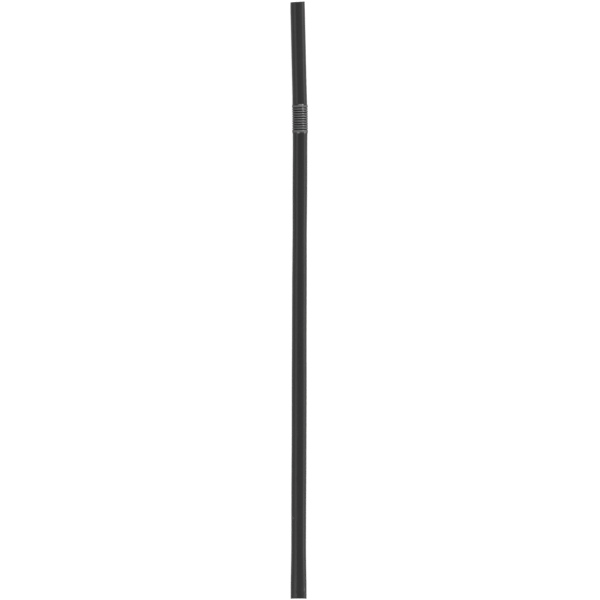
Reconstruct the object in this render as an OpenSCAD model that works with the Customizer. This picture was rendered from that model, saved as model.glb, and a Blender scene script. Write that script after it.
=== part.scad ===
// Flexible drinking straw, lying on its side.
// One thin-walled tube with a folded bellows near the mouth. The leg runs along +Y from its squashed cut
// end to the bellows, and the short arm goes on from there and leans a little towards -X.
// All sizes are in millimetres, and the surface that the straw lies on is z = 0.

/* [Tube] */
// Outer diameter of the plain tube
tube_d = 5.1; // [4.5:0.1:8]
// Thickness of the tube's wall
wall_t = 0.15; // [0.12:0.01:0.25]
// Length of the leg, from its cut end to the nearest crest of the bellows
leg_l = 164.5; // [100:0.5:220]
// Length of the arm, from the last crest of the bellows to the mouth
arm_l = 37.1; // [20:0.1:60]
// Angle by which the arm leans sideways from the leg
arm_lean = 1.47; // [0:0.01:3]

/* [Bellows] */
// Number of crests
crest_count = 11; // [5:1:20]
// Distance from crest to crest, with the folds pushed together
fold_pitch = 0.84; // [0.8:0.01:1.6]
// Height of a crest above the surface of the tube
crest_rise = 0.23; // [0.15:0.01:0.28]
// Depth of a groove below the surface of the tube
groove_sink = 0.15; // [0.05:0.01:0.2]
// Thickness of the wall in the folds, where forming has stretched it
fold_t = 0.12; // [0.08:0.01:0.14]
// How much rounder the crests are than the grooves, where 0 makes them alike
crest_round = 0.25; // [0:0.01:0.25]
// Share of the pitch by which each crest leans towards the leg
fold_lean = 0.08; // [0:0.01:0.1]
// Length over which the tube swells to the first crest, and shrinks back from the last
shoulder_l = 0.95; // [0.6:0.05:1.5]

/* [Squashed end] */
// Width of the oval that the cutting blade left at the end of the leg
end_w = 5.68; // [5.2:0.01:6.2]
// Length over which the tube goes from round to that oval
squash_l = 18; // [8:0.5:40]

/* [Hidden] */
$fn = 96;

// Radii of the tube and of its bore
tube_r = tube_d / 2;
bore_r = tube_r - wall_t;

// The wave of the folds: its middle radius, half its height and its length from first crest to last
wave_r = tube_r + (crest_rise - groove_sink - fold_t) / 2;
wave_h = (crest_rise + groove_sink) / 2;
folds_l = fold_pitch * (crest_count - 1);
// Points along one fold
fold_steps = 8;
// Shares of the shoulder at which it has points, from its root, hidden in the wall, towards the crest
shoulder_shares = [-0.2, 0.15, 0.4, 0.7];

// Rings and sides of the squashed end, and how its widening gathers towards the cut
squash_rings = 6;
squash_sides = 40;
squash_power = 1.3;
// Clearance and overlap that keep the surfaces of the squashed end and the tube from coinciding
seam_gap = 0.01;
seam_lap = 0.1;
// Length by which each hollow is cut past the end that it opens at
cut_past = 1;

// At rest three places touch the surface: the leg where its squashed end begins, the last crest and the
// rim of the mouth. These are the upward slopes of the leg, the bellows and the arm that put them there.
arm_slope = -asin(crest_rise / arm_l);
leg_slope = atan((crest_rise - folds_l / 2 * tan(arm_slope)) / (leg_l - squash_l + folds_l / 2));
folds_slope = (leg_slope + arm_slope) / 2;

// The centre of the leg's cut end, of the first crest and of the last, before the straw is centred
leg_end = [0, 0, tube_r - squash_l * sin(leg_slope)];
first_crest = leg_end + leg_l * direction(leg_slope, 0);
last_crest = first_crest + folds_l * direction(folds_slope, arm_lean / 2);
mouth = last_crest + arm_l * direction(arm_slope, arm_lean);
// Half the reach of the mouth's rim, which is turned by the lean, and the middle of the whole straw
rim_x = tube_r * cos(arm_lean);
middle_x = (end_w / 2 + min(mouth.x - rim_x, -end_w / 2)) / 2;
middle_y = (mouth.y + tube_r * sin(arm_lean)) / 2;

// Unit vector along +Y that rises by slope and is turned towards -X by lean
function direction(slope, lean) = [-sin(lean) * cos(slope), cos(lean) * cos(slope), sin(slope)];

// How much of the squash there is at a height over the cut: 0 at the round tube, 1 at the cut
function squash_at(z) = pow(1 - max(z, 0) / squash_l, squash_power);

// One ring of the squashed end, flat-sided just outside an oval that keeps the tube's girth
function squash_ring(z, r) =
    let (swell = (end_w / 2 - tube_r) * squash_at(z),
         wide = (r + swell + seam_gap) / cos(180 / squash_sides),
         high = (r - swell + seam_gap) / cos(180 / squash_sides))
    [for (i = [0:squash_sides - 1])
        let (a = 360 * (i + 0.5) / squash_sides)
        [wide * cos(a), high * sin(a), z]];

// The centre line of the folded wall, as radius and height, where turn counts crests from the first
function wave_point(turn) =
    [wave_r + wave_h * (cos(360 * turn) + crest_round * pow(sin(360 * turn), 2)),
     fold_pitch * (turn + fold_lean * (1 - cos(360 * turn)))];

// Its outward normal at the same place
function wave_normal(turn) =
    let (rise = -2 * PI * wave_h * sin(360 * turn) * (1 - 2 * crest_round * cos(360 * turn)),
         run = fold_pitch * (1 + 2 * PI * fold_lean * sin(360 * turn)))
    [run, -rise] / norm([rise, run]);

// A point of a shoulder, as radius and distance from its crest, on a surface that is r over the tube
// and at a distance out from the centre line over the folds
function shoulder_point(r, out, share) =
    [r + (wave_r + wave_h + out - r) * sin(90 * share), shoulder_l * (1 - share)];

// The outline of both shoulders and the folds between them, closed along the axis
function bellows_outline(r, out) =
    let (shoulder = [for (share = shoulder_shares) shoulder_point(r, out, share)],
         last = len(shoulder) - 1,
         rise = [for (p = shoulder) [p.x, -p.y]],
         folds = [for (i = [0:fold_steps * (crest_count - 1)])
             let (turn = i / fold_steps)
             wave_point(turn) + out * wave_normal(turn)],
         fall = [for (k = [last:-1:0]) [shoulder[k].x, folds_l + shoulder[k].y]],
         line = concat(rise, folds, fall))
    concat([[0, line[0].y]], line, [[0, line[len(line) - 1].y]]);

// Puts a shape along the leg, the bellows or the arm, with its own z running towards the mouth
module along_leg() {
    translate(leg_end)
        rotate([leg_slope - 90, 0, 0])
            children();
}

module along_bellows() {
    translate(first_crest)
        rotate([folds_slope - 90, 0, arm_lean / 2])
            children();
}

module along_arm() {
    translate(last_crest)
        rotate([arm_slope - 90, 0, arm_lean])
            children();
}

// A closed loft through the rings at the given heights, listed upwards
module oval_loft(heights, r) {
    rings = [for (z = heights) squash_ring(z, r)];
    top = len(heights) - 1;
    sides = [for (k = [0:top - 1])
        for (i = [0:squash_sides - 1])
            let (a = k * squash_sides + i,
                 b = k * squash_sides + (i + 1) % squash_sides)
            each [[a, a + squash_sides, b + squash_sides], [a, b + squash_sides, b]]];
    floor_face = [for (i = [0:squash_sides - 1]) i];
    roof_face = [for (i = [squash_sides - 1:-1:0]) top * squash_sides + i];
    polyhedron([for (ring = rings) each ring], concat(sides, [floor_face, roof_face]));
}

// The leg filled to a radius, its squashed end carried past the cut by a length
module leg_form(r, past) {
    heights = [for (k = [0:squash_rings]) squash_l * k / squash_rings];
    oval_loft(past > 0 ? concat([-past], heights) : heights, r);
    translate([0, 0, squash_l - seam_lap])
        cylinder(r = r, h = leg_l - squash_l + seam_lap);
}

// The bellows filled to its outer or inner surface
module bellows_form(r, out) {
    rotate_extrude()
        polygon(bellows_outline(r, out));
}

// The arm filled to a radius, carried past the mouth by a length
module arm_form(r, past) {
    cylinder(r = r, h = arm_l + past);
}

// The outside of the straw as one filled form
module outer_form() {
    along_leg() leg_form(tube_r, 0);
    along_bellows() bellows_form(tube_r, fold_t / 2);
    along_arm() arm_form(tube_r, 0);
}

// The way through the straw, open at both ends
module inner_form() {
    along_leg() leg_form(bore_r, cut_past);
    along_bellows() bellows_form(bore_r, -fold_t / 2);
    along_arm() arm_form(bore_r, cut_past);
}

module straw() {
    color("#1c1c1d")
        translate([-middle_x, -middle_y, 0])
            difference() {
                outer_form();
                inner_form();
            }
}

straw();
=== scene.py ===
"""Looks of a black flexible drinking straw that lies on a white table.

The straw is drawn as the outline of its wall, spun into a tube, squashed, nudged and bent as the real one
is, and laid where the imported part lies. Sizes are in millimetres until they reach a mesh, and in metres from
there.
"""

import logging
import math
import random
from dataclasses import dataclass, field
from enum import Enum
from typing import Callable, Iterable, Optional

import bmesh
import bpy
from mathutils import Matrix, Quaternion, Vector


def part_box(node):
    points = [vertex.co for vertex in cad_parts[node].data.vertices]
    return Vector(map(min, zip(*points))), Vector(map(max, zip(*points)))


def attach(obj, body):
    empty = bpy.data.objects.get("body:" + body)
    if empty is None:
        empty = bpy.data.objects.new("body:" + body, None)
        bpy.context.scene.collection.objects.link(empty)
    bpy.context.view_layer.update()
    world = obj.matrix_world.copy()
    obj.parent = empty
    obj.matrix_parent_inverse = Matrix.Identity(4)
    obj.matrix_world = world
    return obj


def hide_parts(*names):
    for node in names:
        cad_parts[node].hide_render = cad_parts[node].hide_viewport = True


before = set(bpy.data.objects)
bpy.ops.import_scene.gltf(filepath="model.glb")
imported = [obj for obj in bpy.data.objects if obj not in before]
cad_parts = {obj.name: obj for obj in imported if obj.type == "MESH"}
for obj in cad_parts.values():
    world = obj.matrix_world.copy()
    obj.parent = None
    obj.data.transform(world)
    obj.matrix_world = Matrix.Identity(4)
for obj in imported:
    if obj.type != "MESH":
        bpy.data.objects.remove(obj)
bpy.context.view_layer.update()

log = logging.getLogger("straw")

# One millimetre in metres.
MM = 0.001
# The attribute that keeps each vertex's place on the straight tube.
UNBENT = "unbent"
# Vertices closer than this are merged, in metres.
MERGE_GAP = 1e-6
# Vertices whose heights differ by less than this are one ring, in mm.
RING_GAP = 0.002
# How far the table's surface lies under the straw, in mm.
TABLE_GAP = 0.02
# Angles of the points that round the edge of the wall, in degrees.
RIM_ANGLES = (30.0, 60.0, 90.0)

Outline = list[tuple[float, float]]
Socket = bpy.types.NodeSocket


class WallSide(Enum):
    """A side of the straw's wall, with the way that it lies from the middle of the wall."""

    OUTSIDE = 1.0
    INSIDE = -1.0


class Axis(Enum):
    """An axis of the frame that something is turned about."""

    X = "X"
    Z = "Z"


class Join(Enum):
    """A way to join two values in a material."""

    LARGER = "MAXIMUM"
    PRODUCT = "MULTIPLY"


def in_metres(*sizes: float) -> Vector:
    """Gives a vector of sizes in millimetres as one in metres."""
    return Vector(sizes) * MM


def ramp(value: float, low: float, high: float) -> float:
    """Gives how far a value is from low to high, as a share from 0 to 1 that is eased at both ends."""
    share = min(max((value - low) / (high - low), 0.0), 1.0)
    return share * share * (3.0 - 2.0 * share)


class EditMode:
    """Edit mode on one mesh, in which vertices are picked by place and worked on by operators."""

    def __init__(self, piece: bpy.types.Object) -> None:
        """Names the piece that is edited."""
        self.piece = piece

    def __enter__(self) -> "EditMode":
        """Opens edit mode with nothing selected.

        Returns:
            This edit mode.
        """
        for other in bpy.context.selected_objects:
            other.select_set(False)
        bpy.context.view_layer.objects.active = self.piece
        self.piece.select_set(True)
        bpy.ops.object.mode_set(mode="EDIT")
        bpy.ops.mesh.select_mode(type="VERT")
        bpy.ops.mesh.select_all(action="DESELECT")
        return self

    def __exit__(self, *error: object) -> None:
        """Closes edit mode."""
        bpy.ops.object.mode_set(mode="OBJECT")

    def pick(self, wanted: Callable[[Vector], bool]) -> None:
        """Selects vertices by their place on the straight tube.

        Args:
            wanted: Says of a place in metres whether its vertex is selected.
        """
        mesh = bmesh.from_edit_mesh(self.piece.data)
        kept = mesh.verts.layers.float_vector[UNBENT]
        for vertex in mesh.verts:
            vertex.select = wanted(vertex[kept])
        mesh.select_flush_mode()
        bmesh.update_edit_mesh(self.piece.data)

    def pick_nearest(self, place: Vector) -> None:
        """Selects the one vertex whose place on the straight tube is nearest.

        Args:
            place: The place that it is nearest to, in metres.
        """
        mesh = bmesh.from_edit_mesh(self.piece.data)
        kept = mesh.verts.layers.float_vector[UNBENT]
        nearest = min(mesh.verts, key=lambda vertex: (vertex[kept] - place).length_squared)
        for vertex in mesh.verts:
            vertex.select = vertex is nearest
        mesh.select_flush_mode()
        bmesh.update_edit_mesh(self.piece.data)

    def pick_ends(self) -> None:
        """Selects the first vertex and the last one of a line that was drawn point by point."""
        mesh = bmesh.from_edit_mesh(self.piece.data)
        for vertex in mesh.verts:
            vertex.select = vertex.index in (0, len(mesh.verts) - 1)
        mesh.select_flush_mode()
        bmesh.update_edit_mesh(self.piece.data)

    def turn(self, degrees: float, axis: Axis, pivot: Vector) -> None:
        """Turns what is selected about an axis of the frame.

        Args:
            degrees: The angle, positive from +X to +Y about Z and from +Y to +Z about X.
            axis: The axis that the selection turns about.
            pivot: The place that stays, in metres.
        """
        bpy.ops.transform.rotate(
            value=-math.radians(degrees),
            orient_axis=axis.value,
            orient_type="GLOBAL",
            center_override=pivot,
        )

    def scale(self, factors: Iterable[float], pivot: Vector) -> None:
        """Scales what is selected by a factor along each axis, about a place in metres."""
        bpy.ops.transform.resize(value=tuple(factors), center_override=pivot)

    def nudge(self, move: Vector, reach: float) -> None:
        """Moves what is selected, with what lies around it following less and less.

        Args:
            move: The way that the selection goes, in metres.
            reach: The distance at which nothing follows any more, in metres.
        """
        bpy.ops.transform.translate(
            value=move,
            use_proportional_edit=True,
            proportional_edit_falloff="SMOOTH",
            proportional_size=reach,
        )


class Wiring:
    """The nodes and links of a material or of the surroundings, with short ways to add to them."""

    def __init__(self, tree: bpy.types.NodeTree) -> None:
        """Opens a node tree."""
        self.nodes = tree.nodes
        self.links = tree.links

    def noise(self, place: Socket, size: float, detail: float) -> Socket:
        """Adds a noise of a given size.

        Args:
            place: The coordinates that it reads, in metres.
            size: The size of its features, in mm.
            detail: Its detail.

        Returns:
            The socket that holds the noise, from 0 to 1.
        """
        node = self.nodes.new("ShaderNodeTexNoise")
        node.inputs["Scale"].default_value = 1.0 / (size * MM)
        node.inputs["Detail"].default_value = detail
        self.links.new(place, node.inputs["Vector"])
        return node.outputs["Fac"]

    def fitted(
        self,
        value: Socket,
        source: tuple[float, float],
        target: tuple[float, float] = (0.0, 1.0),
        eased: bool = False,
    ) -> Socket:
        """Fits a value from one range to another, and keeps it inside that.

        Args:
            value: The value.
            source: The range that it comes from.
            target: The range that it is fitted to.
            eased: Whether it sets in and ends softly.

        Returns:
            The socket that holds the result.
        """
        node = self.nodes.new("ShaderNodeMapRange")
        node.interpolation_type = "SMOOTHSTEP" if eased else "LINEAR"
        node.inputs["From Min"].default_value, node.inputs["From Max"].default_value = source
        node.inputs["To Min"].default_value, node.inputs["To Max"].default_value = target
        self.links.new(value, node.inputs["Value"])
        return node.outputs["Result"]

    def joined(self, how: Join, first: Socket, second: Socket) -> Socket:
        """Joins two values.

        Args:
            how: The way to join them.
            first: One value.
            second: The other value.

        Returns:
            The socket that holds the result.
        """
        node = self.nodes.new("ShaderNodeMath")
        node.operation = how.value
        self.links.new(first, node.inputs[0])
        self.links.new(second, node.inputs[1])
        return node.outputs["Value"]

    def bump(self, height: Socket, depth: float, under: Optional[Socket] = None) -> Socket:
        """Adds relief to a surface.

        Args:
            height: Its height, from 0 to 1.
            depth: What a height of 1 stands for, in mm.
            under: The normal of a relief that lies under it.

        Returns:
            The socket that holds the normal.
        """
        node = self.nodes.new("ShaderNodeBump")
        node.inputs["Distance"].default_value = depth * MM
        self.links.new(height, node.inputs["Height"])
        if under is not None:
            self.links.new(under, node.inputs["Normal"])
        return node.outputs["Normal"]


@dataclass(frozen=True)
class BlackPlastic:
    """Black polypropylene with the soft gloss of an extruded tube.

    Attributes:
        slot: The record's material slot; it is not used.
        colour: The plastic's own colour.
        whitening_sheen_and_dust: The lighter colour painted on the crests of the folds, partly the plastic's
            stress whitening and partly painted sheen in place of their highlights; the specks of dust and the
            one painted glint on the leg take it too.
        whitening_and_sheen_shares: Shares of a crest's rise between which the whitening and painted sheen set
            in.
        least_whitening_and_sheen: How much of the whitening and painted sheen shows where it shows least.
        roughness: The roughness of the plain tube.
        uneven: How much the roughness wanders.
        cloud_size: Size of the patches in which roughness and strain wander, in mm.
        cloud_range: Levels of their noise between which they go from least to most.
        line_width: Spacing of the fine lines that the die left along the tube, in mm.
        line_stretch: How many times longer those lines are than wide.
        line_depth: Height of those lines, in mm.
        ripple_size: Size of the soft unevenness of the wall, in mm.
        ripple_depth: Height of that unevenness, in mm.
        dust_size: Size of a speck of dust, in mm.
        dust_range: Levels of the noise of specks between which a speck shows.
        glint_place: Where the one painted glint on the leg is, on the straight tube, in mm; it is a lighter
            spot in place of the highlight of a small nick.
        glint_size: How far that painted glint reaches, in mm.
        ior: Index of refraction.
    """

    slot: str = "black_plastic"
    colour: tuple[float, float, float] = (0.012, 0.012, 0.0125)
    # Lighter colour: stress whitening with painted sheen on the crests, real dust, and a painted glint on the
    # leg.
    whitening_sheen_and_dust: tuple[float, float, float] = (0.1, 0.1, 0.101)
    whitening_and_sheen_shares: tuple[float, float] = (0.35, 0.95)
    least_whitening_and_sheen: float = 0.6
    roughness: float = 0.2
    uneven: float = 0.08
    cloud_size: float = 6.0
    cloud_range: tuple[float, float] = (0.3, 0.7)
    line_width: float = 0.35
    line_stretch: float = 100.0
    line_depth: float = 0.0015
    ripple_size: float = 2.2
    ripple_depth: float = 0.006
    dust_size: float = 0.12
    dust_range: tuple[float, float] = (0.74, 0.84)
    # A painted glint: a lighter spot on the leg in place of the highlight of a small nick.
    glint_place: tuple[float, float, float] = (-1.95, 28.4, 1.65)
    glint_size: float = 0.5
    ior: float = 1.55

    def material(self, tube_r: float, crest_rise: float) -> bpy.types.Material:
        """Builds the material, whose patterns follow the straight tube.

        Args:
            tube_r: Outer radius of the plain tube, in mm.
            crest_rise: Height of a crest above it, in mm.

        Returns:
            The material.
        """
        made = bpy.data.materials.new("black_plastic")
        made.use_nodes = True
        wiring = Wiring(made.node_tree)
        shader = wiring.nodes["Principled BSDF"]
        shader.inputs["IOR"].default_value = self.ior
        attribute = wiring.nodes.new("ShaderNodeAttribute")
        attribute.attribute_name = UNBENT
        place = attribute.outputs["Vector"]
        cloud = wiring.noise(place, self.cloud_size, detail=4.0)

        patchy = wiring.fitted(cloud, self.cloud_range, (self.least_whitening_and_sheen, 1.0))
        # The crests' lighter colour is partly stress whitening and partly painted sheen in place of their
        # highlights.
        crest_whitening_and_sheen = wiring.joined(Join.PRODUCT, self._crests(wiring, place, tube_r, crest_rise), patchy)
        tint = wiring.nodes.new("ShaderNodeMix")
        tint.data_type = "RGBA"
        tint.inputs["A"].default_value = (*self.colour, 1.0)
        tint.inputs["B"].default_value = (*self.whitening_sheen_and_dust, 1.0)
        # Crests (whitening and painted sheen), specks of dust and the painted glint all take the lighter
        # colour.
        sheen_and_dust_mask = wiring.joined(Join.LARGER, crest_whitening_and_sheen, self._dust_and_glint(wiring, place))
        wiring.links.new(sheen_and_dust_mask, tint.inputs["Factor"])
        wiring.links.new(tint.outputs["Result"], shader.inputs["Base Color"])

        low, high = self.roughness - self.uneven / 2, self.roughness + self.uneven / 2
        wiring.links.new(wiring.fitted(cloud, self.cloud_range, (low, high)), shader.inputs["Roughness"])
        wiring.links.new(self._relief(wiring, place), shader.inputs["Normal"])
        return made

    def _crests(self, wiring: Wiring, place: Socket, tube_r: float, crest_rise: float) -> Socket:
        """Tells the crests of the folds from the plain tube, by the distance from the tube's axis, for their
        whitening and painted sheen.

        Args:
            wiring: The material's nodes and links.
            place: The place on the straight tube.
            tube_r: Outer radius of the plain tube, in mm.
            crest_rise: Height of a crest above it, in mm.

        Returns:
            The socket that is 0 on the tube and 1 on top of the crests.
        """
        split = wiring.nodes.new("ShaderNodeSeparateXYZ")
        wiring.links.new(place, split.inputs["Vector"])
        flat = wiring.nodes.new("ShaderNodeCombineXYZ")
        wiring.links.new(split.outputs["X"], flat.inputs["X"])
        wiring.links.new(split.outputs["Z"], flat.inputs["Z"])
        radius = wiring.nodes.new("ShaderNodeVectorMath")
        radius.operation = "LENGTH"
        wiring.links.new(flat.outputs["Vector"], radius.inputs[0])
        low, high = [(tube_r + share * crest_rise) * MM for share in self.whitening_and_sheen_shares]
        return wiring.fitted(radius.outputs["Value"], (low, high), eased=True)

    def _dust_and_glint(self, wiring: Wiring, place: Socket) -> Socket:
        """Puts specks of dust all over, and one painted glint on the leg, a lighter spot in place of the
        highlight of a small nick.

        Args:
            wiring: The material's nodes and links.
            place: The place on the straight tube.

        Returns:
            The socket that is 1 in the middle of a speck and of the painted glint.
        """
        # Painted glint on the leg, a lighter spot in place of the highlight of a small nick.
        glint_distance = wiring.nodes.new("ShaderNodeVectorMath")
        glint_distance.operation = "DISTANCE"
        glint_distance.inputs[1].default_value = in_metres(*self.glint_place)
        wiring.links.new(place, glint_distance.inputs[0])
        glint = wiring.fitted(glint_distance.outputs["Value"], (self.glint_size * MM, 0.0))
        specks = wiring.noise(place, self.dust_size, detail=1.0)
        return wiring.joined(Join.LARGER, glint, wiring.fitted(specks, self.dust_range))

    def _relief(self, wiring: Wiring, place: Socket) -> Socket:
        """Gives the wall its soft unevenness, with the lines that the die left on top.

        Args:
            wiring: The material's nodes and links.
            place: The place on the straight tube.

        Returns:
            The socket that holds the normal.
        """
        stretch = wiring.nodes.new("ShaderNodeMapping")
        stretch.inputs["Scale"].default_value = (1.0, 1.0 / self.line_stretch, 1.0)
        wiring.links.new(place, stretch.inputs["Vector"])
        lines = wiring.noise(stretch.outputs["Vector"], self.line_width, detail=3.0)
        ripple = wiring.noise(place, self.ripple_size, detail=2.0)
        return wiring.bump(lines, self.line_depth, under=wiring.bump(ripple, self.ripple_depth))


@dataclass(frozen=True)
class Bow:
    """A place where the leg bows towards -X, with sizes in mm.

    Attributes:
        height: Its height over the leg's cut end.
        depth: How far the tube goes there.
        reach: The distance along the leg at which nothing follows any more.
    """

    height: float
    depth: float
    reach: float


@dataclass(frozen=True)
class Dent:
    """A small dent that the cutting blade left, with sizes in mm.

    Attributes:
        height: Its height over the leg's cut end.
        angle: Where it is round the tube, in degrees from +X to +Z.
        depth: Its depth.
        reach: The distance at which the wall is untouched.
    """

    height: float
    angle: float
    depth: float
    reach: float


@dataclass
class DrinkingStraw:
    """The straw, one thin-walled tube with a folded bellows.

    Sizes are in mm and degrees. Those down to squash_power are the ones that the part's source has, and only
    the looks have the others.

    Attributes:
        tube_d: Outer diameter of the plain tube.
        wall_t: Thickness of its wall.
        leg_l: From the leg's cut end to the first crest.
        arm_l: From the last crest to the mouth.
        arm_lean: Angle by which the arm leans sideways from the leg.
        crest_count: Number of crests.
        fold_pitch: From crest to crest.
        crest_rise: Height of a crest above the tube.
        groove_sink: Depth of a groove below the tube.
        fold_t: Thickness of the wall in the folds.
        crest_round: How much rounder the crests are than the grooves.
        fold_lean: Share of the pitch by which each crest leans towards the leg.
        shoulder_l: Length over which the tube swells to the first crest, and from the last one back.
        end_w: Width of the oval at the leg's cut end.
        squash_l: Length over which the tube becomes that oval.
        squash_power: How the widening gathers towards the cut.
        sides: Points round the tube.
        fold_steps: Points along one fold.
        swell_shares: Shares of a shoulder at which it has points, towards its crest.
        squash_step: Distance from ring to ring in the squashed end.
        tube_step: About the same for the plain tube.
        near_ring: From a shoulder to the ring next to it.
        far_ring: From a shoulder to the ring after that.
        rim_ring: From each end to the ring next to its rim.
        arm_ring: From the mouth to the last evenly spaced ring of the arm.
        rim_round: Radius of the edges of the wall.
        cut_gap: How far the upper half of the cut end's rim is set back.
        mouth_gap: The same at the mouth.
        mouth_skew: Angle by which the mouth is cut out of square.
        rim_reach: Height over which an end's rim is set back.
        bows: Where the leg bows.
        widths: Heights over the leg's cut end, each with the tube's width there.
        end_blend: Length over which the width at the cut becomes the first of them.
        folds_w: Width to which the folds are pressed, given as that of a plain tube in their place.
        folds_reach: How far that reaches beyond the first crest and the last.
        arm_w: Width of the arm.
        fold_nudges: How often a crest is nudged.
        nudge_along: The most that it is nudged along the tube.
        nudge_inward: The most that it is nudged towards the axis.
        nudge_reach: The least and the most distance at which nothing follows any more.
        dents: The dents at the cut end.
        seed: Start of the random numbers.
        finish: What the straw is made of.
    """

    tube_d: float = 5.1
    wall_t: float = 0.15
    leg_l: float = 164.5
    arm_l: float = 37.1
    arm_lean: float = 1.47
    crest_count: int = 11
    fold_pitch: float = 0.84
    crest_rise: float = 0.23
    groove_sink: float = 0.15
    fold_t: float = 0.12
    crest_round: float = 0.25
    fold_lean: float = 0.08
    shoulder_l: float = 0.95
    end_w: float = 5.68
    squash_l: float = 18.0
    squash_power: float = 1.3

    sides: int = 128
    fold_steps: int = 16
    swell_shares: tuple[float, ...] = (0.08, 0.2, 0.35, 0.5, 0.65, 0.8, 0.92)
    squash_step: float = 0.5
    tube_step: float = 3.0
    near_ring: float = 0.2
    far_ring: float = 0.6
    rim_ring: float = 0.4
    arm_ring: float = 1.0
    rim_round: float = 0.025
    cut_gap: float = 0.32
    mouth_gap: float = 0.12
    mouth_skew: float = 2.3
    rim_reach: float = 0.2
    bows: tuple[Bow, ...] = (Bow(28.0, 0.06, 42.0), Bow(100.0, 0.06, 55.0))
    widths: tuple[tuple[float, float], ...] = (
        (18.0, 5.23),
        (42.0, 5.29),
        (58.0, 5.265),
        (73.0, 5.30),
        (93.0, 5.20),
        (109.0, 5.21),
        (129.0, 5.055),
        (145.0, 5.20),
        (163.0, 5.14),
    )
    end_blend: float = 6.0
    folds_w: float = 5.2
    folds_reach: float = 1.5
    arm_w: float = 5.13
    fold_nudges: int = 18
    nudge_along: float = 0.03
    nudge_inward: float = 0.04
    nudge_reach: tuple[float, float] = (0.7, 1.6)
    dents: tuple[Dent, ...] = (Dent(2.7, 57.0, 0.13, 1.5), Dent(1.2, 122.0, 0.08, 1.2))
    seed: int = 7
    finish: BlackPlastic = field(default_factory=BlackPlastic)

    @property
    def tube_r(self) -> float:
        """Outer radius of the plain tube."""
        return self.tube_d / 2

    @property
    def folds_l(self) -> float:
        """From the first crest to the last."""
        return self.fold_pitch * (self.crest_count - 1)

    @property
    def whole_l(self) -> float:
        """From the leg's cut end to the mouth."""
        return self.leg_l + self.folds_l + self.arm_l

    @property
    def arm_slope(self) -> float:
        """Upward slope of the arm, which rests on the last crest and on the mouth's rim."""
        return -math.degrees(math.asin(self.crest_rise / self.arm_l))

    @property
    def leg_slope(self) -> float:
        """Upward slope of the leg, which rests where its squashed end begins.

        Returns:
            The slope in degrees.
        """
        half = self.folds_l / 2
        rise = self.crest_rise - half * math.tan(math.radians(self.arm_slope))
        return math.degrees(math.atan(rise / (self.leg_l - self.squash_l + half)))

    def fold_point(self, turn: float, side: WallSide) -> tuple[float, float]:
        """Gives a point of the folded wall.

        Args:
            turn: Crests counted from the first, with fractions between them.
            side: The side of the wall.

        Returns:
            The radius, and the height from the leg's cut end.
        """
        wave_r = self.tube_r + (self.crest_rise - self.groove_sink - self.fold_t) / 2
        wave_h = (self.crest_rise + self.groove_sink) / 2
        angle = 2 * math.pi * turn
        bend = math.cos(angle) + self.crest_round * math.sin(angle) ** 2
        rise = -2 * math.pi * wave_h * math.sin(angle) * (1 - 2 * self.crest_round * math.cos(angle))
        run = self.fold_pitch * (1 + 2 * math.pi * self.fold_lean * math.sin(angle))
        out = side.value * self.fold_t / 2 / math.hypot(rise, run)
        radius = wave_r + wave_h * bend + out * run
        height = self.fold_pitch * (turn + self.fold_lean * (1 - math.cos(angle))) - out * rise
        return radius, self.leg_l + height

    def wall_line(self, side: WallSide) -> Outline:
        """Gives one side of the straight wall, from just inside the leg's cut end to just inside the mouth.

        Args:
            side: The side of the wall.

        Returns:
            Points of radius and height.
        """
        radius = self.tube_r if side is WallSide.OUTSIDE else self.tube_r - self.wall_t
        last_turn = self.crest_count - 1
        folds = [self.fold_point(k / self.fold_steps, side) for k in range(last_turn * self.fold_steps + 1)]
        crest_r = folds[0][0]
        swell = []
        for share in self.swell_shares:
            rise = (crest_r - radius) * math.sin(share * math.pi / 2)
            swell.append((radius + rise, (1 - share) * self.shoulder_l))
        rising = [(r, self.leg_l - away) for r, away in swell]
        falling = [(r, self.leg_l + self.folds_l + away) for r, away in swell[::-1]]
        low, high = rising[0][1], falling[-1][1]
        squashed = [k * self.squash_step for k in range(1, round(self.squash_l / self.squash_step) + 1)]
        leg = self._spread(squashed[-1], low - self.far_ring)
        arm = self._spread(high + self.far_ring, self.whole_l - self.arm_ring)
        start = [self.rim_round, self.rim_ring, *squashed, *leg, low - self.near_ring]
        end = [high + self.near_ring, high + self.far_ring, *arm]
        end += [self.whole_l - self.rim_ring, self.whole_l - self.rim_round]
        bellows = rising + folds + falling
        return [(radius, h) for h in start] + bellows + [(radius, h) for h in end]

    def _spread(self, start: float, end: float) -> list[float]:
        """Spaces heights evenly after start and up to end, about a tube step apart."""
        count = max(round((end - start) / self.tube_step), 1)
        return [start + (end - start) * k / count for k in range(1, count + 1)]

    def _rim(self, height: float, way: float) -> Outline:
        """Rounds the wall's edge at one end, from its outside to its inside.

        Args:
            height: Where the end is.
            way: 1 where the tube ends upwards, and -1 where it starts.

        Returns:
            Points of radius and height between the two sides of the wall.
        """
        outer, inner, small = self.tube_r, self.tube_r - self.wall_t, self.rim_round
        points = []
        for angle in RIM_ANGLES:
            a = math.radians(angle)
            points.append((outer - small + small * math.cos(a), height + way * small * (math.sin(a) - 1)))
        for angle in RIM_ANGLES[::-1]:
            a = math.radians(angle)
            points.append((inner + small - small * math.cos(a), height + way * small * (math.sin(a) - 1)))
        return points

    def outline(self) -> Outline:
        """Gives the closed outline of the straight wall.

        Returns:
            Points of radius and height.
        """
        outside = self.wall_line(WallSide.OUTSIDE)
        inside = self.wall_line(WallSide.INSIDE)
        mouth_rim = self._rim(self.whole_l, 1.0)
        cut_rim = self._rim(0.0, -1.0)
        return outside + mouth_rim + inside[::-1] + cut_rim[::-1]

    def squash_at(self, height: float) -> float:
        """Gives how much of the squash there is at a height, from 0 at the round tube to 1 at the cut."""
        return max(1 - max(height, 0.0) / self.squash_l, 0.0) ** self.squash_power

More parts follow.
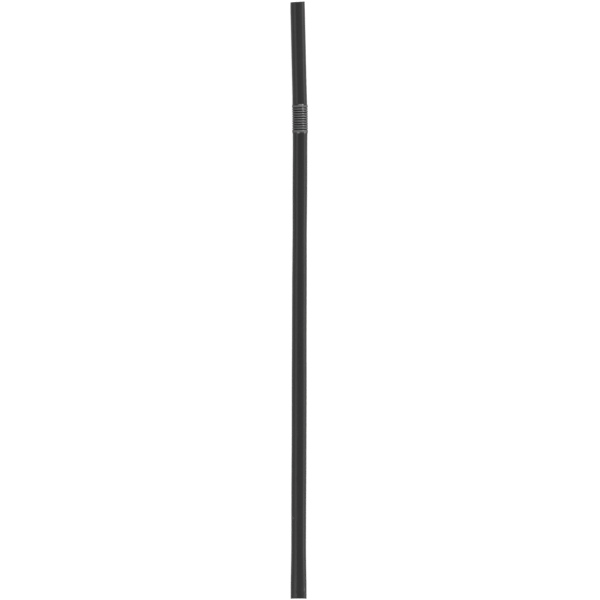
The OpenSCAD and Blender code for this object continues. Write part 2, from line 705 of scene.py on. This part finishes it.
    def width_at(self, height: float) -> float:
        """Gives the width of the plain tube, which wanders a little along the leg.

        Args:
            height: The height over the leg's cut end.

        Returns:
            The width.
        """
        first, first_w = self.widths[0]
        if height <= first:
            plain = self.tube_d + (first_w - self.tube_d) * ramp(height, 0.0, self.end_blend)
            return plain + (self.end_w - self.tube_d) * self.squash_at(height)
        for (low, low_w), (high, high_w) in zip(self.widths, self.widths[1:]):
            if height <= high:
                return low_w + (high_w - low_w) * ramp(height, low, high)
        return self.arm_w

    def build(self) -> bpy.types.Object:
        """Models the straw and lays it in its place.

        Returns:
            The finished piece.
        """
        bpy.ops.object.select_all(action="DESELECT")
        bpy.ops.mesh.primitive_plane_add(size=MM, location=(0.0, 0.0, 0.0))
        piece = bpy.context.object
        piece.name = piece.data.name = "drinking_straw"
        self._draw_wall(piece)
        self._keep_places(piece)
        with EditMode(piece) as edit:
            self._press_rings(edit)
            self._set_back_rims(edit)
            self._dent_end(edit)
            self._upset_folds(edit)
            self._bow_leg(edit)
            self._bend_folds(edit)
            self._lay_down(edit)
            bpy.ops.mesh.select_all(action="DESELECT")
        piece.select_set(True)
        bpy.ops.object.shade_smooth()
        return piece

    def _draw_wall(self, piece: bpy.types.Object) -> None:
        """Draws the wall's outline point by point above the axis and spins it round into a tube.

        Args:
            piece: The piece that it is drawn in.
        """
        line = [in_metres(0.0, height, radius) for radius, height in self.outline()]
        with EditMode(piece) as edit:
            bpy.ops.mesh.select_all(action="SELECT")
            bpy.ops.mesh.merge(type="CENTER")
            bpy.ops.transform.translate(value=line[0])
            for here, there in zip(line, line[1:]):
                bpy.ops.mesh.extrude_region_move(TRANSFORM_OT_translate={"value": there - here})
            edit.pick_ends()
            bpy.ops.mesh.edge_face_add()
            bpy.ops.mesh.select_all(action="SELECT")
            bpy.ops.mesh.spin(steps=self.sides, angle=2 * math.pi, center=(0, 0, 0), axis=(0, 1, 0))
            bpy.ops.mesh.select_all(action="SELECT")
            bpy.ops.mesh.remove_doubles(threshold=MERGE_GAP)
            bpy.ops.mesh.normals_make_consistent(inside=False)
            bpy.ops.mesh.select_all(action="DESELECT")

    def _keep_places(self, piece: bpy.types.Object) -> None:
        """Keeps each vertex's place on the straight tube, for the patterns and for picking.

        Args:
            piece: The straight tube.
        """
        kept = piece.data.attributes.new(UNBENT, "FLOAT_VECTOR", "POINT")
        for vertex, value in zip(piece.data.vertices, kept.data):
            value.vector = vertex.co

    def _press_rings(self, edit: EditMode) -> None:
        """Presses the rings of leg, folds and arm to the widths that they have, which keeps their girth.

        Args:
            edit: Edit mode on the straw.
        """
        low, high = self.leg_l - self.folds_reach, self.leg_l + self.folds_l + self.folds_reach
        heights = sorted({round(p[1], 4) for p in self.outline() if p[1] < low or p[1] > high})
        for height in heights:
            edit.pick(lambda place, h=height: abs(place.y / MM - h) < RING_GAP)
            wide = self.width_at(height) / self.tube_d
            edit.scale((wide, 1.0, 2.0 - wide), in_metres(0.0, height, 0.0))
        edit.pick(lambda place: low * MM < place.y < high * MM)
        wide = self.folds_w / self.tube_d
        edit.scale((wide, 1.0, 2.0 - wide), in_metres(0.0, self.leg_l, 0.0))

    def _set_back_rims(self, edit: EditMode) -> None:
        """Sets both upper rims back, so that the lower wall reaches past them, and skews the mouth.

        Args:
            edit: Edit mode on the straw.
        """
        low_r = self.tube_r - (self.end_w - self.tube_d) / 2
        edit.pick(lambda place: place.y < self.rim_reach * MM and place.z > 0)
        self._tip(edit, -math.degrees(math.atan(self.cut_gap / low_r)), Vector((0.0, 0.0, 0.0)))
        mouth = in_metres(0.0, self.whole_l, 0.0)
        last = (self.whole_l - self.rim_reach) * MM
        edit.pick(lambda place: place.y > last and place.z > 0)
        self._tip(edit, math.degrees(math.atan(self.mouth_gap / self.tube_r)), mouth)
        edit.pick(lambda place: place.y > last)
        edit.turn(self.mouth_skew, Axis.Z, mouth + in_metres(self.tube_r, 0.0, 0.0))

    @staticmethod
    def _tip(edit: EditMode, degrees: float, pivot: Vector) -> None:
        """Turns a rim about X and stretches it, so that it leans along the tube and keeps its outline."""
        edit.turn(degrees, Axis.X, pivot)
        edit.scale((1.0, 1.0, 1.0 / math.cos(math.radians(degrees))), pivot)

    def _dent_end(self, edit: EditMode) -> None:
        """Presses the dents into the cut end.

        Args:
            edit: Edit mode on the straw.
        """
        for dent in self.dents:
            across, up = math.cos(math.radians(dent.angle)), math.sin(math.radians(dent.angle))
            edit.pick_nearest(in_metres(self.tube_r * across, dent.height, self.tube_r * up))
            edit.nudge(in_metres(-dent.depth * across, 0.0, -dent.depth * up), dent.reach * MM)

    def _upset_folds(self, edit: EditMode) -> None:
        """Nudges the crests here and there, as folds that were pushed together lie unevenly.

        Args:
            edit: Edit mode on the straw.
        """
        chance = random.Random(self.seed)
        for _ in range(self.fold_nudges):
            crest = chance.randrange(self.crest_count)
            angle = chance.uniform(0.0, 2 * math.pi)
            out = self.tube_r + self.crest_rise
            height = self.leg_l + crest * self.fold_pitch
            edit.pick_nearest(in_metres(out * math.cos(angle), height, out * math.sin(angle)))
            along = chance.uniform(-self.nudge_along, self.nudge_along)
            inward = chance.uniform(-self.nudge_inward, 0.0)
            move = in_metres(inward * math.cos(angle), along, inward * math.sin(angle))
            edit.nudge(move, chance.uniform(*self.nudge_reach) * MM)

    def _bow_leg(self, edit: EditMode) -> None:
        """Bows the leg a little towards -X.

        Args:
            edit: Edit mode on the straw.
        """
        for bow in self.bows:
            edit.pick(lambda place, h=bow.height: abs(place.y / MM - h) < self.tube_step / 2)
            edit.nudge(in_metres(-bow.depth, 0.0, 0.0), bow.reach * MM)

    def _bend_folds(self, edit: EditMode) -> None:
        """Bends the bellows by an equal share at each crest, sideways and down to the table.

        Args:
            edit: Edit mode on the straw.
        """
        lean = self.arm_lean / self.crest_count
        fall = (self.arm_slope - self.leg_slope) / self.crest_count
        pivot = in_metres(0.0, self.leg_l, 0.0)
        way = Vector((0.0, 1.0, 0.0))
        for crest in range(self.crest_count):
            line = (self.leg_l + crest * self.fold_pitch) * MM
            edit.pick(lambda place, y=line: place.y > y)
            edit.turn(lean, Axis.Z, pivot)
            edit.turn(fall, Axis.X, pivot)
            turned = Matrix.Rotation(math.radians(lean), 3, "Z")
            tipped = Matrix.Rotation(math.radians(fall), 3, "X")
            way = tipped @ turned @ way
            pivot = pivot + way * self.fold_pitch * MM

    def _lay_down(self, edit: EditMode) -> None:
        """Gives the whole straw the leg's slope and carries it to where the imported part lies.

        Args:
            edit: Edit mode on the straw.
        """
        low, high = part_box("straw")
        drop = self.squash_l * math.sin(math.radians(self.leg_slope))
        end = Vector((high.x - self.end_w / 2 * MM, low.y, (self.tube_r - drop) * MM))
        bpy.ops.mesh.select_all(action="SELECT")
        edit.turn(self.leg_slope, Axis.X, Vector((0.0, 0.0, 0.0)))
        bpy.ops.transform.translate(value=end)

    def dress(self, piece: bpy.types.Object) -> None:
        """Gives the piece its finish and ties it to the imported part.

        Args:
            piece: The finished straw.
        """
        piece.data.materials.append(self.finish.material(self.tube_r, self.crest_rise))
        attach(piece, "root")
        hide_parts("straw")


@dataclass(frozen=True)
class WhiteTable:
    """The table top, matt white, which the camera sees as white where no shadow falls.

    Attributes:
        size: Length of its sides, in metres.
        colour: How much light it throws back.
        glow: White that the camera sees on top of that.
        mirrored_glow: White that reflections see on top of it.
    """

    size: float = 20.0
    colour: float = 0.5
    glow: float = 0.68
    mirrored_glow: float = 0.04

    def build(self, height: float) -> bpy.types.Object:
        """Adds the table top.

        Args:
            height: The height of its surface, in metres.

        Returns:
            The table top.
        """
        bpy.ops.object.select_all(action="DESELECT")
        bpy.ops.mesh.primitive_plane_add(size=self.size, location=(0.0, 0.0, height))
        table = bpy.context.object
        table.name = "table_top"
        table.data.materials.append(self.material())
        return table

    def material(self) -> bpy.types.Material:
        """Builds the table's material, which can be looked through from below.

        Returns:
            The material.
        """
        made = bpy.data.materials.new("white_table")
        made.use_nodes = True
        wiring = Wiring(made.node_tree)
        nodes, links = wiring.nodes, wiring.links
        nodes.remove(nodes["Principled BSDF"])
        matt = nodes.new("ShaderNodeBsdfDiffuse")
        matt.inputs["Color"].default_value = (self.colour, self.colour, self.colour, 1.0)
        path = nodes.new("ShaderNodeLightPath")
        mirrored = wiring.joined(
            Join.LARGER, path.outputs["Is Glossy Ray"], path.outputs["Is Transmission Ray"]
        )
        faint = wiring.fitted(mirrored, (0.0, 1.0), (0.0, self.mirrored_glow))
        level = nodes.new("ShaderNodeMath")
        level.operation = "MULTIPLY_ADD"
        level.inputs[1].default_value = self.glow
        links.new(path.outputs["Is Camera Ray"], level.inputs[0])
        links.new(faint, level.inputs[2])
        white = nodes.new("ShaderNodeEmission")
        links.new(level.outputs["Value"], white.inputs["Strength"])
        both = nodes.new("ShaderNodeAddShader")
        links.new(matt.outputs["BSDF"], both.inputs[0])
        links.new(white.outputs["Emission"], both.inputs[1])
        below = nodes.new("ShaderNodeNewGeometry")
        clear = nodes.new("ShaderNodeBsdfTransparent")
        pick = nodes.new("ShaderNodeMixShader")
        links.new(below.outputs["Backfacing"], pick.inputs["Fac"])
        links.new(both.outputs["Shader"], pick.inputs[1])
        links.new(clear.outputs["BSDF"], pick.inputs[2])
        links.new(pick.outputs["Shader"], nodes["Material Output"].inputs["Surface"])
        return made


@dataclass(frozen=True)
class SoftBox:
    """A soft lamp that faces the straw.

    Attributes:
        name: What it is called.
        place: Where it stands, in metres from the middle of the straw.
        size: Its width and height, in metres.
        level: How bright its face is, where 1 is white.
        roll: Its turn about the line to the straw, in degrees.
    """

    name: str
    place: tuple[float, float, float]
    size: tuple[float, float]
    level: float
    roll: float = 0.0

    def build(self) -> None:
        """Adds the lamp, turned to the straw."""
        made = bpy.data.lights.new(self.name, "AREA")
        made.shape = "RECTANGLE"
        made.size, made.size_y = self.size
        made.energy = math.pi * self.size[0] * self.size[1] * self.level
        lamp = bpy.data.objects.new(self.name, made)
        bpy.context.scene.collection.objects.link(lamp)
        lamp.location = self.place
        turn = Quaternion((0.0, 0.0, 1.0), math.radians(self.roll))
        lamp.rotation_euler = ((-Vector(self.place)).to_track_quat("-Z", "Y") @ turn).to_euler()
        lamp.visible_camera = False


@dataclass(frozen=True)
class Studio:
    """Soft light from all round, the lamps and the camera.

    Attributes:
        zenith: Brightness of the surroundings straight up.
        horizon: Their brightness low down.
        haze_top: Sine of the elevation up to which they are as bright as low down.
        lamps: The soft lamps.
        lens: Focal length of the camera, in mm.
        distance: From the camera to the straw, in metres.
        far_limit: Distance past which the camera sees nothing, in metres.
        aim: Where it looks, in mm.
        roll: Its turn about the line of sight, in degrees.
    """

    zenith: float = 0.36
    horizon: float = 0.52
    haze_top: float = 0.5
    lamps: tuple[SoftBox, ...] = (
        SoftBox("left_box", (-0.6, -0.05, 0.55), (0.8, 0.5), 0.5),
        SoftBox("right_box", (0.9, -0.05, 0.16), (0.7, 0.34), 1.0),
        SoftBox("mouth_key", (0.05, 0.6, 0.7), (0.7, 0.26), 4.0),
        SoftBox("mouth_spot", (0.583, 0.525, 0.517), (0.2, 0.26), 13.0),
        SoftBox("mouth_glint", (0.451, 0.789, 0.188), (0.16, 0.3), 21.0, roll=29.5),
        SoftBox("leg_glint", (0.451, -0.789, 0.188), (0.16, 0.3), 21.0, roll=-29.5),
        SoftBox("leg_key", (-0.31, -0.41, 0.58), (0.4, 0.3), 4.7),
        SoftBox("leg_right_key", (0.8, -0.46, 0.16), (0.4, 0.28), 6.5),
        SoftBox("mouth_low", (0.0, 0.8, 0.5), (0.8, 0.3), 0.6),
        SoftBox("leg_low", (0.0, -0.8, 0.5), (0.8, 0.3), 0.6),
    )
    lens: float = 400.0
    distance: float = 2.3432
    far_limit: float = 100.0
    aim: tuple[float, float, float] = (0.543, 0.045, 2.6)
    roll: float = 0.18

    def build(self) -> None:
        """Adds the surroundings, the lamps and the camera."""
        self._surround()
        for lamp in self.lamps:
            lamp.build()
        made = bpy.data.cameras.new("camera")
        made.lens = self.lens
        made.clip_end = self.far_limit
        camera = bpy.data.objects.new("camera", made)
        bpy.context.scene.collection.objects.link(camera)
        camera.location = in_metres(*self.aim) + Vector((0.0, 0.0, self.distance))
        camera.rotation_euler = (0.0, 0.0, math.radians(self.roll))
        bpy.context.scene.camera = camera

    def _surround(self) -> None:
        """Builds the surroundings, dimmer straight up, and plain white to the camera."""
        world = bpy.data.worlds.new("studio")
        bpy.context.scene.world = world
        world.use_nodes = True
        wiring = Wiring(world.node_tree)
        nodes, links = wiring.nodes, wiring.links
        soft = nodes["Background"]
        place = nodes.new("ShaderNodeTexCoord")
        split = nodes.new("ShaderNodeSeparateXYZ")
        links.new(place.outputs["Generated"], split.inputs["Vector"])
        levels = (self.horizon, self.zenith)
        level = wiring.fitted(split.outputs["Z"], (self.haze_top, 1.0), levels, eased=True)
        soft.inputs["Color"].default_value = (1.0, 1.0, 1.0, 1.0)
        links.new(level, soft.inputs["Strength"])
        white = nodes.new("ShaderNodeBackground")
        white.inputs["Color"].default_value = (1.0, 1.0, 1.0, 1.0)
        path = nodes.new("ShaderNodeLightPath")
        pick = nodes.new("ShaderNodeMixShader")
        links.new(path.outputs["Is Camera Ray"], pick.inputs["Fac"])
        links.new(soft.outputs["Background"], pick.inputs[1])
        links.new(white.outputs["Background"], pick.inputs[2])
        links.new(pick.outputs["Shader"], nodes["World Output"].inputs["Surface"])


def report(piece: bpy.types.Object) -> None:
    """Reports a finished piece's size and faces.

    Args:
        piece: The piece.
    """
    corners = [piece.matrix_world @ Vector(corner) for corner in piece.bound_box]
    low = [min(corner[k] for corner in corners) / MM for k in range(3)]
    high = [max(corner[k] for corner in corners) / MM for k in range(3)]
    box = ", ".join(f"{a:.3f} to {b:.3f}" for a, b in zip(low, high))
    log.info("%s: %d faces, %s mm", piece.name, len(piece.data.polygons), box)


def main() -> None:
    """Builds the straw, the table and the studio."""
    logging.basicConfig(level=logging.INFO, format="%(name)s: %(message)s")
    bpy.context.scene.view_settings.view_transform = "Standard"
    straw = DrinkingStraw()
    piece = straw.build()
    straw.dress(piece)
    report(piece)
    low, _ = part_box("straw")
    table = WhiteTable().build(min(low.z, 0.0) - TABLE_GAP * MM)
    report(table)
    Studio().build()


if __name__ == "__main__":
    main()
